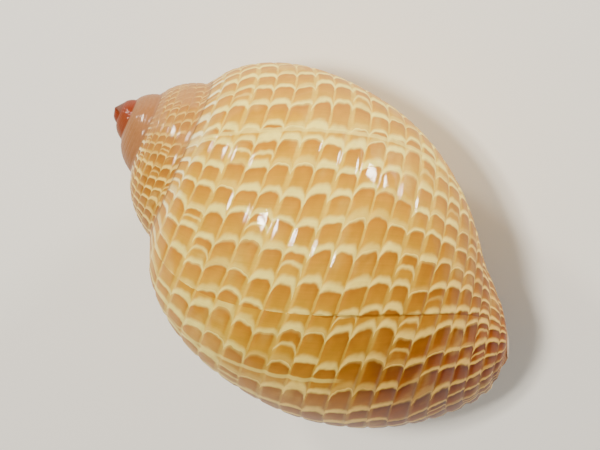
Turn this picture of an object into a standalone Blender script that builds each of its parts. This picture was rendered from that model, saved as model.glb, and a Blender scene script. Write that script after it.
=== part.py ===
"""A tun shell lying on its mouth: one closed solid, with its ribs, its spire, the open mouth and the cavity
that winds back from it, the twisted pillar and the notch at the front end.

The shell is first worked out in its own growth frame. There the coiling axis is z, the apex is at the origin
and the front end is at +z. A place on a whorl has two numbers: the turn angle, which grows towards the lip,
and the station, which runs along the whorl's profile from the suture (0) to the pillar (1).
The finished mesh is then turned to lie as the real shell rests, with its lowest points flat on z = 0.
"""
import math

import bmesh
import bpy
import numpy as np

MM = 0.001
TURN = 2.0 * math.pi

# Growth: each turn repeats the one before it, larger by this factor
GROWTH_PER_TURN = 1.97
TURNS = 4.4
# The older whorls are fuller for their suture's size than the mouth is, less so towards the pillar
OLD_WHORL_FULLNESS = 1.31
FULLNESS_FADE = 1.86
FULLNESS_TAPER = 2.1
# Opposite the lip's foot the last turn reaches further forward, in the ridge that old notches leave
FRONT_REACH = 0.085
FRONT_REACH_FROM = 0.84
RIDGE_PEAK = 4.0 / 27.0    # the most that x (1 - x)^2 reaches

# The profile at the mouth: distance from the axis, and distance from the apex along it
PROFILE_MM = (
    (28.7, 30.0),    # the suture
    (35.8, 34.3),    # the shoulder
    (45.8, 46.5),
    (50.5, 58.8),
    (52.5, 74.1),    # the widest place
    (51.5, 91.8),
    (43.7, 112.9),
    (26.3, 132.5),   # the base
    (13.0, 139.0),   # the front end
    (5.0, 139.2),    # the foot of the pillar
)
# The station where the next turn covers this one, and where the wall's inner corner meets it
COVERED_FROM = 0.305
CORNER_FROM = 0.334

# The lip leans back from the suture to the pillar, and is cut back at the notch
LEAN = math.radians(77.0)
LEAN_BEND = 0.2
NOTCH = math.radians(14.0)
NOTCH_STATION = 0.955
NOTCH_WIDTH = 0.025

# Ribs along the whole profile, the first groove's station, and how far the ribs slide along the profile
RIBS = 21.5
FIRST_GROOVE = 0.0395
RIB_DRIFT = 0.127
DRIFT_ZERO = -1.9
RIB_HEIGHT = 0.35 * MM
FRONT_RIB_HEIGHT = 0.9 * MM
RIBS_STEEPEN_FROM = 0.5
RIBS_END = 0.93

WALL = 1.4 * MM
LIP_WALL = 1.1 * MM
LIP_THINS_OVER = math.radians(30.0)
CAVITY = math.radians(600.0)

# The pillar: a waist along it, and a front end that narrows and slants away from the lip's foot
PILLAR_WAIST = 0.12
WAIST_FULL_AT = 30.0 * MM
PILLAR_TIP = 136.0 * MM
PILLAR_END_NARROW = 0.45
PILLAR_END_SLANT = 5.0 * MM

APEX_RISE = 0.6 * MM

# How the shell lies: turned about its axis, then tipped
REST_ROLL = math.radians(-106.6)
REST_TIP = math.radians(8.6)
FLAT_DEPTH = 0.85 * MM

# Mesh steps
BODY_ROWS = 50
SPIRE_ROWS_PER_TURN = 20
CAVITY_ROWS = 32
PILLAR_STEPS = 5
WELD = 0.001 * MM

SHELL_COLOUR = (0.62, 0.33, 0.11, 1.0)
SHELL_ROUGHNESS = 0.2

EXPONENT = math.log(GROWTH_PER_TURN) / TURN
LIP = LEAN                 # the lip's turn angle at the suture
BODY_START = LIP - TURN    # where the last turn begins


def spline_through(points):
    """A natural cubic spline through the points, as a function of the share of its length."""
    points = np.array(points, float)
    at = np.concatenate([[0.0], np.cumsum(np.linalg.norm(np.diff(points, axis=0), axis=1))])
    at /= at[-1]
    gap = np.diff(at)
    count = len(at)
    matrix = np.eye(count)
    right = np.zeros_like(points)
    for i in range(1, count - 1):
        matrix[i, i - 1:i + 2] = gap[i - 1], 2.0 * (gap[i - 1] + gap[i]), gap[i]
        right[i] = 6.0 * ((points[i + 1] - points[i]) / gap[i] - (points[i] - points[i - 1]) / gap[i - 1])
    bend = np.linalg.solve(matrix, right)

    def value(station):
        station = np.clip(np.asarray(station, float), 0.0, 1.0)
        i = np.clip(np.searchsorted(at, station) - 1, 0, count - 2)
        step = gap[i][..., None]
        a = (at[i + 1] - station)[..., None] / step
        b = 1.0 - a
        cubic = ((a ** 3 - a) * bend[i] + (b ** 3 - b) * bend[i + 1]) * step ** 2 / 6.0
        return a * points[i] + b * points[i + 1] + cubic

    return value


profile = spline_through(np.array(PROFILE_MM) * MM)
SUTURE = profile(0.0)
PILLAR_FOOT = profile(1.0)


def smooth(x):
    """A smooth step from 0 to 1."""
    x = np.clip(x, 0.0, 1.0)
    return x * x * (3.0 - 2.0 * x)


def size(angle):
    """The whorl's size at a turn angle, 1 where the lip meets the pillar."""
    return np.exp(EXPONENT * angle)


def outline(angle, station):
    """The whorl's smooth outline in its half plane: distance from the axis, and distance along it."""
    angle, station = np.broadcast_arrays(np.asarray(angle, float), np.asarray(station, float))
    drift = RIB_DRIFT * (np.maximum(angle, BODY_START) - DRIFT_ZERO)
    along = station + drift * station * (1.0 - station)
    last = np.clip(angle / TURN + 1.0, 0.0, None) ** FULLNESS_FADE
    fuller = (OLD_WHORL_FULLNESS - 1.0) * (1.0 - last)
    shape = profile(along)
    # The extra fullness stops at the pillar, which keeps its thickness
    clear = np.clip((shape[..., 0] - PILLAR_FOOT[0]) / (SUTURE[0] - PILLAR_FOOT[0]), 0.0, 1.0)
    ridge = FRONT_REACH * last * np.clip(1.0 - last, 0.0, 1.0) ** 2 / RIDGE_PEAK
    ridge = ridge * smooth((station - FRONT_REACH_FROM) / (1.0 - FRONT_REACH_FROM))
    more = np.stack([fuller * clear ** FULLNESS_TAPER, fuller + ridge], axis=-1)
    return size(angle)[..., None] * (SUTURE + (1.0 + more) * (shape - SUTURE))


def outward(angle, station):
    """The outline's unit normal in the half plane, pointing away from the whorl's inside."""
    step = 0.002
    ahead, behind = np.minimum(station + step, 1.0), np.maximum(station - step, 0.0)
    tangent = outline(angle, ahead) - outline(angle, behind)
    normal = np.stack([tangent[..., 1], -tangent[..., 0]], axis=-1)
    return normal / np.linalg.norm(normal, axis=-1)[..., None]


def relief(angle, station):
    """How far the ribs stand up: crests between grooves, stronger towards the front end."""
    wave = 0.5 - 0.5 * np.cos(TURN * RIBS * (station - FIRST_GROOVE))
    wave = np.where(station < FIRST_GROOVE, 0.0, wave)
    strong = smooth((station - RIBS_STEEPEN_FROM) / (RIBS_END - RIBS_STEEPEN_FROM))
    height = RIB_HEIGHT + (FRONT_RIB_HEIGHT - RIB_HEIGHT) * strong
    fade = smooth((1.0 - station) / (1.0 - RIBS_END))
    return height * wave * fade * size(angle)


def in_space(half_plane, angle):
    """Turns half plane points about the axis to their turn angle."""
    r, z = half_plane[..., 0], half_plane[..., 1]
    return np.stack([r * np.cos(angle), r * np.sin(angle), z], axis=-1)


def lip_lean(station):
    """How far behind its suture the lip is at a station, as a turn angle."""
    lean = -LEAN * (station + LEAN_BEND * station * (1.0 - station))
    return lean - NOTCH * np.exp(-((station - NOTCH_STATION) / NOTCH_WIDTH) ** 2)


def leaned(row, station):
    """The turn angle of a row at a station: upright where the last turn begins, along the lip at its end."""
    return row + smooth((row - BODY_START) / TURN) * lip_lean(station)


def outer(row, station):
    """Points on the shell's outside."""
    row, station = np.meshgrid(row, station, indexing="ij")
    angle = leaned(row, station)
    flat = outline(angle, station) + relief(angle, station)[..., None] * outward(angle, station)
    return in_space(flat, angle)


def covered(row, station):
    """Points on a turn that the next one covers: the wall between them, seen inside the mouth."""
    row, station = np.meshgrid(row, station, indexing="ij")
    return in_space(outline(row, station) + relief(row, station)[..., None] * outward(row, station), row)


def inner(row, station):
    """Points on the cavity's outer wall, one wall's thickness inside the outside."""
    row, station = np.meshgrid(row, station, indexing="ij")
    angle = leaned(row, station)
    near_lip = smooth((row - LIP) / LIP_THINS_OVER + 1.0)
    wall = (WALL + (LIP_WALL - WALL) * near_lip) * np.sqrt(size(row - LIP))
    return in_space(outline(angle, station) - wall[..., None] * outward(angle, station), angle)


def suture(row):
    """The line where each turn meets the one before it."""
    return in_space(outline(row, 0.0), row)


class Patches:
    """Gathers grids of points and their faces, to be welded where their edges meet."""

    def __init__(self):
        self.points = []
        self.faces = []

    def add(self, points):
        """Keeps an array of points, and returns their numbers in an array of the same layout."""
        start = sum(len(kept) for kept in self.points)
        self.points.append(points.reshape(-1, 3))
        return start + np.arange(points[..., 0].size).reshape(points.shape[:-1])

    def grid(self, ids):
        """Quads between the neighbours of a grid."""
        quads = np.stack([ids[:-1, :-1], ids[1:, :-1], ids[1:, 1:], ids[:-1, 1:]], axis=-1)
        self.faces += quads.reshape(-1, 4).tolist()

    def zip(self, first, second):
        """Triangles between two rows with different numbers of points, both running the same way."""
        i = j = 0
        while i < len(first) - 1 or j < len(second) - 1:
            share_i = (i + 1) / (len(first) - 1)
            share_j = (j + 1) / (len(second) - 1)
            if j == len(second) - 1 or (i < len(first) - 1 and share_i <= share_j):
                self.faces.append((int(first[i]), int(first[i + 1]), int(second[j])))
                i += 1
            else:
                self.faces.append((int(first[i]), int(second[j + 1]), int(second[j])))
                j += 1

    def fan(self, ring, tip):
        """Triangles from a closed ring of points to one tip."""
        for a, b in zip(ring, np.roll(ring, -1)):
            self.faces.append((int(a), int(b), int(tip)))


def stations():
    """The outside's columns: every groove and crest, with the covered edge and the corner among them."""
    half = 0.5 / RIBS
    count = int((1.0 - FIRST_GROOVE) / half)
    regular = FIRST_GROOVE + half * np.arange(count)
    keep = np.abs(regular - 0.5 * (COVERED_FROM + CORNER_FROM)) > CORNER_FROM - COVERED_FROM
    marks = np.concatenate([[0.0], regular[keep], [COVERED_FROM, CORNER_FROM, 1.0]])
    return np.sort(marks)


def pillar(top, top_angle, foot, foot_angle):
    """A grid from each top point to its foot point, turning and narrowing a little on the way."""
    share = np.linspace(0.0, 1.0, PILLAR_STEPS + 1)
    top_r, foot_r = np.hypot(top[:, 0], top[:, 1]), np.hypot(foot[:, 0], foot[:, 1])
    r = top_r[:, None] * (1 - share) + foot_r[:, None] * share
    z = top[:, 2, None] * (1 - share) + foot[:, 2, None] * share
    waist = PILLAR_WAIST * smooth((foot[:, 2] - top[:, 2]) / WAIST_FULL_AT)
    r = r * (1.0 - 4.0 * waist[:, None] * share * (1 - share))
    angle = top_angle[:, None] * (1 - share) + foot_angle[:, None] * share
    grid = np.stack([r * np.cos(angle), r * np.sin(angle), z], axis=-1)
    grid[:, 0] = top
    grid[:, -1] = foot
    return grid


def shell_patches():
    """Every patch of the shell's surface, in the growth frame."""
    shell = Patches()
    columns = stations()
    covered_at = int(np.argmin(abs(columns - COVERED_FROM)))
    corner_at = covered_at + 1
    inside = np.concatenate([columns[corner_at + 1:-1:2], [1.0]])

    # The spire: each turn down to where the next one covers it, closed by the blunt apex
    first_row = LIP - TURNS * TURN
    spire_count = int(round((TURNS - 1.0) * SPIRE_ROWS_PER_TURN)) + 1
    spire_rows = np.linspace(first_row, BODY_START, spire_count)
    spire = outer(spire_rows, columns[:corner_at])
    spire[:, 0] = suture(spire_rows)
    spire[:, -1] = suture(spire_rows + TURN)
    spire_ids = shell.add(spire)
    shell.grid(spire_ids[:, :-1])
    shell.grid(spire_ids[:-SPIRE_ROWS_PER_TURN, -2:])
    apex = shell.add(np.array([[0.0, 0.0, suture(first_row)[2] - APEX_RISE]]))[0]
    ring = np.concatenate([spire_ids[:SPIRE_ROWS_PER_TURN, 0], spire_ids[0, ::-1][:-1]])
    shell.fan(ring, apex)

    # The last turn, whose first row ends the spire and whose suture runs along the turn before
    body_rows = np.linspace(BODY_START, LIP, BODY_ROWS + 1)
    body = outer(body_rows, columns)
    body[:, 0] = suture(body_rows)
    body[0, covered_at] = suture(LIP)
    body_ids = shell.add(body)
    shell.grid(body_ids)
    shell.zip(spire_ids[-SPIRE_ROWS_PER_TURN - 1:, -2], body_ids[:, 0])

    # Inside the mouth: the turn before, and the cavity's outer wall, meeting in a corner under the suture
    cavity_rows = np.linspace(LIP - CAVITY, LIP, CAVITY_ROWS + 1)
    wall_stations = np.concatenate([[CORNER_FROM], inside])
    before = covered(cavity_rows - TURN, wall_stations)
    before_ids = shell.add(before)
    shell.grid(before_ids[:-1])
    shell.zip(before_ids[-2], body_ids[0, corner_at:])
    outer_stations = np.concatenate([columns[2:-1:2], [1.0]])
    cavity = np.concatenate([before[:, :1], inner(cavity_rows, outer_stations)], axis=1)
    cavity_ids = shell.add(cavity)
    shell.grid(cavity_ids)
    shell.zip(cavity_ids[-1], body_ids[-1])

    # The pillar inside the mouth, then outside it down to the foot
    top, foot = before[:, -1], cavity[:, -1]
    foot_angle = leaned(cavity_rows, np.ones_like(cavity_rows))
    within = pillar(top, cavity_rows, foot, foot_angle)
    within_ids = shell.add(within)
    shell.grid(within_ids)
    share = np.linspace(0.0, 1.0, BODY_ROWS + 1)
    start, end = foot[-1], body[-1, -1]
    away = np.sin(math.pi * share)
    foot_r = np.hypot(*start[:2]) * (1 - share) + np.hypot(*end[:2]) * share
    foot_r = foot_r * (1.0 - PILLAR_END_NARROW * away)
    foot_z = start[2] * (1 - share) + end[2] * share - PILLAR_END_SLANT * away
    around = leaned(LIP, 1.0) + TURN * (share - 1.0)
    ring = np.stack([foot_r * np.cos(around), foot_r * np.sin(around), foot_z], axis=-1)
    top_angle = leaned(body_rows, np.ones_like(body_rows))
    without = pillar(body[:, -1], top_angle, ring, around)
    without[0] = within[-1]
    without_ids = shell.add(without)
    shell.grid(without_ids)
    tip = shell.add(np.array([[0.0, 0.0, PILLAR_TIP]]))[0]
    shell.fan(without_ids[:, -1], tip)

    # The far end of the cavity, closed between its two walls
    shell.zip(np.concatenate([before_ids[0], within_ids[0, 1:]]), cavity_ids[0])
    return shell


def resting(points):
    """Turns the shell to the way it lies, and grinds its lowest points flat on z = 0."""
    c, s = math.cos(REST_ROLL), math.sin(REST_ROLL)
    rolled = points @ np.array([[c, -s, 0.0], [s, c, 0.0], [0.0, 0.0, 1.0]]).T
    # The coiling axis turns to +X, and its front end tips down
    lying = np.stack([rolled[:, 2], rolled[:, 1], -rolled[:, 0]], axis=1)
    c, s = math.cos(REST_TIP), math.sin(REST_TIP)
    lying = lying @ np.array([[c, 0.0, s], [0.0, 1.0, 0.0], [-s, 0.0, c]]).T
    low, high = lying.min(axis=0), lying.max(axis=0)
    middle = 0.5 * (low + high)
    lying = lying - np.array([middle[0], middle[1], low[2] + FLAT_DEPTH])
    lying[:, 2] = np.maximum(lying[:, 2], 0.0)
    return lying


def shell_material():
    """Tan shell with a shine."""
    material = bpy.data.materials.new("tun_shell")
    material.use_nodes = True
    shader = material.node_tree.nodes["Principled BSDF"]
    shader.inputs["Base Color"].default_value = SHELL_COLOUR
    shader.inputs["Roughness"].default_value = SHELL_ROUGHNESS
    return material


def make_shell():
    """The shell's object: patches welded into one closed skin, facing out."""
    patches = shell_patches()
    mesh = bpy.data.meshes.new("tun_shell")
    points = resting(np.concatenate(patches.points))
    work = bmesh.new()
    verts = [work.verts.new(point) for point in points]
    for face in patches.faces:
        work.faces.new([verts[i] for i in face])
    bmesh.ops.remove_doubles(work, verts=work.verts, dist=WELD)
    bmesh.ops.dissolve_degenerate(work, dist=WELD, edges=work.edges)
    bmesh.ops.triangulate(work, faces=work.faces)
    bmesh.ops.recalc_face_normals(work, faces=work.faces)
    work.to_mesh(mesh)
    work.free()
    mesh.shade_smooth()
    mesh.materials.append(shell_material())
    shell = bpy.data.objects.new("tun_shell", mesh)
    bpy.context.scene.collection.objects.link(shell)
    return shell


for old in list(bpy.data.objects):
    bpy.data.objects.remove(old)
make_shell()
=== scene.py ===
# %% [markdown]
# # A tun shell
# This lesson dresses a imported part, a large sea snail's shell that lies on its mouth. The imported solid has
# the right size and place, and a few thousand facets. Here its growth law is worked out again on fine grids,
# so that ribs, sutures and lip get their real edges, and then comes the pattern. We load the frame first and
# keep its box, because nothing may grow past it.

# %% The frame
import math

import bmesh
import bpy
import numpy as np
from mathutils import Matrix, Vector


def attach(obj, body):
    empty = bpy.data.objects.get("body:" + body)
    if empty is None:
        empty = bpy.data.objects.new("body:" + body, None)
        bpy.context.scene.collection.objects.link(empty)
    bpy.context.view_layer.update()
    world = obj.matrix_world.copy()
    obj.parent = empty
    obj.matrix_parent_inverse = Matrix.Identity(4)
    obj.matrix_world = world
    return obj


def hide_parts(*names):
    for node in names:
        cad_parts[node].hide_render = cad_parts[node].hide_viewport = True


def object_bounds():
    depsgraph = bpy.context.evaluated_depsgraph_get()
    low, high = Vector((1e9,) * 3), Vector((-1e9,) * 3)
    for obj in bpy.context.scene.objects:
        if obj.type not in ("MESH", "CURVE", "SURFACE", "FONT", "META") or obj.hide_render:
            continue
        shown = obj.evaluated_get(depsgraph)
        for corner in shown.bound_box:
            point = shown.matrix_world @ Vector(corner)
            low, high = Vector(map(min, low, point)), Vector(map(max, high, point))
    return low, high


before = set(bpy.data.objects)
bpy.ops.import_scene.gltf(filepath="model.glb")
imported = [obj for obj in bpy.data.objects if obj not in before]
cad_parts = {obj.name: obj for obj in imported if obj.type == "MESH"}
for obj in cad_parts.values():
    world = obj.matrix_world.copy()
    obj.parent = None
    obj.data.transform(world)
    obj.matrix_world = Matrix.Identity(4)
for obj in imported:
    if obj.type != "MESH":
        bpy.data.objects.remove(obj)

CAD_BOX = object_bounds()
MM = 0.001
TURN = 2.0 * math.pi
print("frame's box", CAD_BOX)

# %% [markdown]
# ## The profile
# Cut the shell in half through its axis and the last turn's outside is one curve: from the suture, over the
# shoulder and the widest place, down to the base and the foot of the pillar. It could be a Bezier drawn by
# hand. A natural cubic spline through ten measured points is just as smooth, gives many places at once, and
# needs only numpy. A place along it is called a station, from 0 at the suture to 1.

# %% The profile at the mouth
PROFILE_MM = (
    (28.7, 30.0),  # the suture: distance from the axis, and distance from the apex along it
    (35.8, 34.3),  # the shoulder
    (45.8, 46.5),
    (50.5, 58.8),
    (52.5, 74.1),  # the widest place
    (51.5, 91.8),
    (43.7, 112.9),
    (26.3, 132.5),  # the base
    (13.0, 139.0),  # the front end
    (5.0, 139.2),  # the foot of the pillar
)


def spline_through(points):
    """A natural cubic spline through the points, as a function of the share of its length.

    Between two points it is the straight mix a*p + b*q plus the cubic terms (a^3-a) and (b^3-b), weighted
    by the bends there, which one matrix equation gives.
    """
    points = np.array(points, float)
    at = np.concatenate([[0.0], np.cumsum(np.linalg.norm(np.diff(points, axis=0), axis=1))])
    at /= at[-1]
    gap = np.diff(at)
    count = len(at)
    matrix = np.eye(count)
    right = np.zeros_like(points)
    for i in range(1, count - 1):
        matrix[i, i - 1:i + 2] = gap[i - 1], 2.0 * (gap[i - 1] + gap[i]), gap[i]
        right[i] = 6.0 * ((points[i + 1] - points[i]) / gap[i] - (points[i] - points[i - 1]) / gap[i - 1])
    bend = np.linalg.solve(matrix, right)

    def value(station):
        station = np.clip(np.asarray(station, float), 0.0, 1.0)
        i = np.clip(np.searchsorted(at, station) - 1, 0, count - 2)
        step = gap[i][..., None]
        a = (at[i + 1] - station)[..., None] / step
        b = 1.0 - a
        cubic = ((a ** 3 - a) * bend[i] + (b ** 3 - b) * bend[i + 1]) * step ** 2 / 6.0
        return a * points[i] + b * points[i + 1] + cubic

    return value


profile = spline_through(np.array(PROFILE_MM) * MM)
SUTURE = profile(0.0)
PILLAR_FOOT = profile(1.0)
print("profile's widest place in mm", round(float(profile(np.linspace(0, 1, 200))[:, 0].max()) / MM, 1))

# %% [markdown]
# ## Growth
# A snail adds shell only at the lip, and keeps its shape while it grows. So every turn is the one before it,
# larger by one factor, and the size is an exponential of the turn angle. Three small things are added: old
# turns are a little fuller, the ribs slide slowly along the profile, and old notches leave a low ridge on the
# last turn. A ready-made screw modifier can't grow, so the law is written out.

# %% The whorl's outline at any turn angle
GROWTH_PER_TURN = 1.97
TURNS = 4.4
OLD_WHORL_FULLNESS = 1.31
FULLNESS_FADE = 1.86  # how late in the last turn that fullness goes
FULLNESS_TAPER = 2.1  # how soon it stops towards the pillar
FRONT_REACH = 0.085  # the ridge's height, as a share of the profile
FRONT_REACH_FROM = 0.84
RIDGE_PEAK = 4.0 / 27.0  # the most that x (1 - x)^2 reaches
RIB_DRIFT = 0.127
DRIFT_ZERO = -1.9
LEAN = math.radians(77.0)
STATION_STEP = 0.002  # how far apart the stations are that give a tangent

EXPONENT = math.log(GROWTH_PER_TURN) / TURN
LIP = LEAN  # the lip's turn angle at the suture
BODY_START = LIP - TURN  # where the last turn begins


def smooth(x):
    """A smooth step from 0 to 1: 3x^2 - 2x^3, held at its ends."""
    x = np.clip(x, 0.0, 1.0)
    return x * x * (3.0 - 2.0 * x)


def size(angle):
    """The whorl's size at a turn angle, e to the power of the exponent times the angle, 1 at angle 0."""
    return np.exp(EXPONENT * angle)


def outline(angle, station):
    """The whorl's smooth outline in its half plane: distance from the axis, and distance along it.

    It is size(angle) times the suture point plus the profile's reach from there, fuller on old whorls. The
    ridge is x (1 - x)^2 round the last turn, over its own peak.
    """
    angle, station = np.broadcast_arrays(np.asarray(angle, float), np.asarray(station, float))
    drift = RIB_DRIFT * (np.maximum(angle, BODY_START) - DRIFT_ZERO)
    along = station + drift * station * (1.0 - station)
    last = np.clip(angle / TURN + 1.0, 0.0, None) ** FULLNESS_FADE
    fuller = (OLD_WHORL_FULLNESS - 1.0) * (1.0 - last)
    shape = profile(along)
    clear = np.clip((shape[..., 0] - PILLAR_FOOT[0]) / (SUTURE[0] - PILLAR_FOOT[0]), 0.0, 1.0)
    ridge = FRONT_REACH * last * np.clip(1.0 - last, 0.0, 1.0) ** 2 / RIDGE_PEAK
    ridge = ridge * smooth((station - FRONT_REACH_FROM) / (1.0 - FRONT_REACH_FROM))
    more = np.stack([fuller * clear ** FULLNESS_TAPER, fuller + ridge], axis=-1)
    return size(angle)[..., None] * (SUTURE + (1.0 + more) * (shape - SUTURE))


def outward(angle, station):
    """The outline's unit normal in the half plane: its tangent from nearby stations, turned by a quarter."""
    ahead, behind = np.minimum(station + STATION_STEP, 1.0), np.maximum(station - STATION_STEP, 0.0)
    tangent = outline(angle, ahead) - outline(angle, behind)
    normal = np.stack([tangent[..., 1], -tangent[..., 0]], axis=-1)
    return normal / np.linalg.norm(normal, axis=-1)[..., None]


def in_space(half_plane, angle):
    """Turns half plane points (r, z) about the axis to (r cos, r sin, z)."""
    r, z = half_plane[..., 0], half_plane[..., 1]
    return np.stack([r * np.cos(angle), r * np.sin(angle), z], axis=-1)


def suture(row):
    """The line where each turn meets the one before it."""
    return in_space(outline(row, 0.0), row)


print("whorl sizes, lip backwards", [round(float(size(-TURN * k)), 3) for k in range(5)])

# %% [markdown]
# ## The lean of the lip
# The lip isn't upright. From the suture it runs back to the pillar, beside which the notch for the snail's
# siphon cuts it back. The last turn's grid starts upright, where it leaves the spire, and leans more with
# each row until its last row is the lip itself.

# %% Rows that lean
LEAN_BEND = 0.2  # how far the lip's line is bent
NOTCH = math.radians(14.0)
NOTCH_STATION = 0.955
NOTCH_WIDTH = 0.025


def lip_lean(station):
    """How far the lip is behind its suture, as a turn angle: a bent line, and the notch's dip."""
    lean = -LEAN * (station + LEAN_BEND * station * (1.0 - station))
    return lean - NOTCH * np.exp(-((station - NOTCH_STATION) / NOTCH_WIDTH) ** 2)


def leaned(row, station):
    """A row's turn angle at a station: its own plus the lip's lean, faded in over the last turn."""
    return row + smooth((row - BODY_START) / TURN) * lip_lean(station)


leans = [round(math.degrees(lip_lean(at))) for at in (1.0, NOTCH_STATION)]
print("the lip leans, in degrees, at the pillar and in the notch", leans)

# %% [markdown]
# ## Ribs
# Flat cords run round the shell with narrow grooves between them, and get round and strong towards the front.
# A groove is a dip like a bell curve, which leaves the rib's top flat. Near the front a cosine takes over.
# The ribs are real relief in the mesh, so they show at the silhouette too, which bump mapping could not do.

# %% The ribs' relief
RIBS = 21.5
FIRST_GROOVE = 0.0395
GROOVE_HALF_WIDTH = 0.11  # in rib widths
RIB_HEIGHT = 0.35 * MM
FRONT_RIB_HEIGHT = 0.9 * MM
RIBS_STEEPEN_FROM = 0.5  # the station from which the ribs get rounder and stronger
RIBS_END = 0.93  # and the one from which they fade towards the pillar
NEAR_END = 0.003  # columns nearer to an end than this are left out
RIB_COLUMNS = (-0.3, -0.2, -0.12, -0.06, 0.0, 0.06, 0.12, 0.2, 0.3)  # in rib widths from the groove


def relief(angle, station):
    """How far the ribs stand up: 1 - bell(distance to the groove), or a cosine in front, times a height."""
    place = RIBS * (station - FIRST_GROOVE)
    to_groove = np.abs(place - np.round(place))
    flat_topped = 1.0 - np.exp(-(to_groove / GROOVE_HALF_WIDTH) ** 2)
    rounded = 0.5 - 0.5 * np.cos(TURN * place)
    strong = smooth((station - RIBS_STEEPEN_FROM) / (RIBS_END - RIBS_STEEPEN_FROM))
    wave = np.where(station < FIRST_GROOVE, 0.0, flat_topped * (1.0 - strong) + rounded * strong)
    height = RIB_HEIGHT + (FRONT_RIB_HEIGHT - RIB_HEIGHT) * strong
    fade = smooth((1.0 - station) / (1.0 - RIBS_END))
    return height * wave * fade * size(angle)


def rib_stations():
    """The outside's columns: nine for each rib, crowded at its grooves, with both ends kept."""
    grooves = np.arange(-1, int(RIBS) + 1)
    marks = FIRST_GROOVE + (grooves[:, None] + np.array(RIB_COLUMNS)).ravel() / RIBS
    marks = marks[(marks > NEAR_END) & (marks < 1.0 - NEAR_END)]
    return np.sort(np.concatenate([[0.0], marks, [1.0]]))


print("columns on the outside", len(rib_stations()))

# %% [markdown]
# ## The surfaces
# Each stretch of the shell is a grid of points worked out from rows and stations: the outside, the turn that
# the mouth looks onto, the cavity's outer wall a wall's thickness further in, and the pillar. Each grid also
# keeps two numbers for the pattern, its turn and its station, as a UV map.

# %% Outside, covered turn and cavity wall
WALL = 1.4 * MM
LIP_WALL = 1.1 * MM
LIP_THINS_OVER = math.radians(30.0)
INNER_RIBS = 0.7  # how strongly the ribs show on the cavity's wall


def outer(row, station, upright=False):
    """Points on the outside: the outline plus the relief along its normal. Covered turns stay upright."""
    row, station = np.meshgrid(row, station, indexing="ij")
    angle = row if upright else leaned(row, station)
    flat = outline(angle, station) + relief(angle, station)[..., None] * outward(angle, station)
    return in_space(flat, angle), angle, station


def inner(row, station):
    """Points on the cavity's outer wall: the outline, less the wall, with the ribs showing through softly."""
    row, station = np.meshgrid(row, station, indexing="ij")
    angle = leaned(row, station)
    near_lip = smooth((row - LIP) / LIP_THINS_OVER + 1.0)
    wall = (WALL + (LIP_WALL - WALL) * near_lip) * np.sqrt(size(row - LIP))
    away = INNER_RIBS * relief(angle, station) - wall
    flat = outline(angle, station) + away[..., None] * outward(angle, station)
    return in_space(flat, angle), angle, station


print("wall in mm, inside and at the lip", round(WALL / MM, 1), round(LIP_WALL / MM, 1))

# %% [markdown]
# ## Gathering the patches
# The patches meet edge to edge. Edges with the same points are welded, and where their counts differ a strip
# of triangles joins them. The texture numbers are stored for each corner of each face, so that they can jump
# at a suture, where the pillar side of one turn touches the start of the next.

# %% A bag of patches
OUTSIDE, INSIDE, RIM_AND_PILLAR = range(3)  # the kinds of face, for the three finishes


class Patches:
    """Gathers points, faces and texture numbers, to be welded into one skin."""

    def __init__(self):
        self.points, self.uv, self.faces, self.kinds, self.count = [], [], [], [], 0

    def add(self, points, angle, station):
        """Keeps an array of points with its turn angles and stations, and returns the points' numbers."""
        ids = self.count + np.arange(points[..., 0].size).reshape(points.shape[:-1])
        self.count += ids.size
        self.points.append(points.reshape(-1, 3))
        angle, station = np.broadcast_to(angle, ids.shape), np.broadcast_to(station, ids.shape)
        self.uv.append(np.stack([angle.ravel() / TURN, station.ravel()], axis=1))
        return ids

    def grid(self, ids, kind):
        """Two triangles between each four neighbours of a grid."""
        a, b, c, d = ids[:-1, :-1], ids[1:, :-1], ids[1:, 1:], ids[:-1, 1:]
        self.triangles(np.stack([a, b, c], axis=-1), kind)
        self.triangles(np.stack([a, c, d], axis=-1), kind)

    def triangles(self, corners, kind):
        """Keeps triangles, given as an array whose last axis has their three corners."""
        corners = corners.reshape(-1, 3)
        self.faces.append(corners)
        self.kinds.append(np.full(len(corners), kind))

    def zip(self, first, second, kind):
        """Triangles between two edges of unlike counts: each step goes to whichever edge lags behind."""
        steps_first, steps_second = len(first) - 1, len(second) - 1
        share = np.concatenate([np.arange(1, steps_first + 1) / steps_first,
                                np.arange(1, steps_second + 1) / steps_second])
        on_first = np.argsort(share, kind="stable") < steps_first
        i, j = np.cumsum(on_first), np.cumsum(~on_first)
        third = np.where(on_first, first[np.maximum(i - 1, 0)], second[np.maximum(j - 1, 0)])
        self.triangles(np.stack([first[i], second[j], third], axis=-1), kind)

    def fan(self, ring, tip, kind):
        """Triangles from a closed ring of points to one tip."""
        self.triangles(np.stack([ring, np.roll(ring, -1), np.full(len(ring), tip)], axis=-1), kind)


print("kinds of face", OUTSIDE, INSIDE, RIM_AND_PILLAR)

# %% [markdown]
# ## The pillar
# The whorls turn around a twisted pillar. Inside the mouth it runs from the turn before down to the lip's
# foot, and outside it ends in a small slanted tip beside the notch. Both parts are lines from a top edge to a
# foot edge that turn and narrow on the way, which gives the twist for nothing.

# %% The pillar's grid
PILLAR_STEPS = 8
PILLAR_WAIST = 0.12
WAIST_FULL_AT = 30.0 * MM
PILLAR_TIP = 136.0 * MM
PILLAR_END_NARROW = 0.45
PILLAR_END_SLANT = 5.0 * MM


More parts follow.
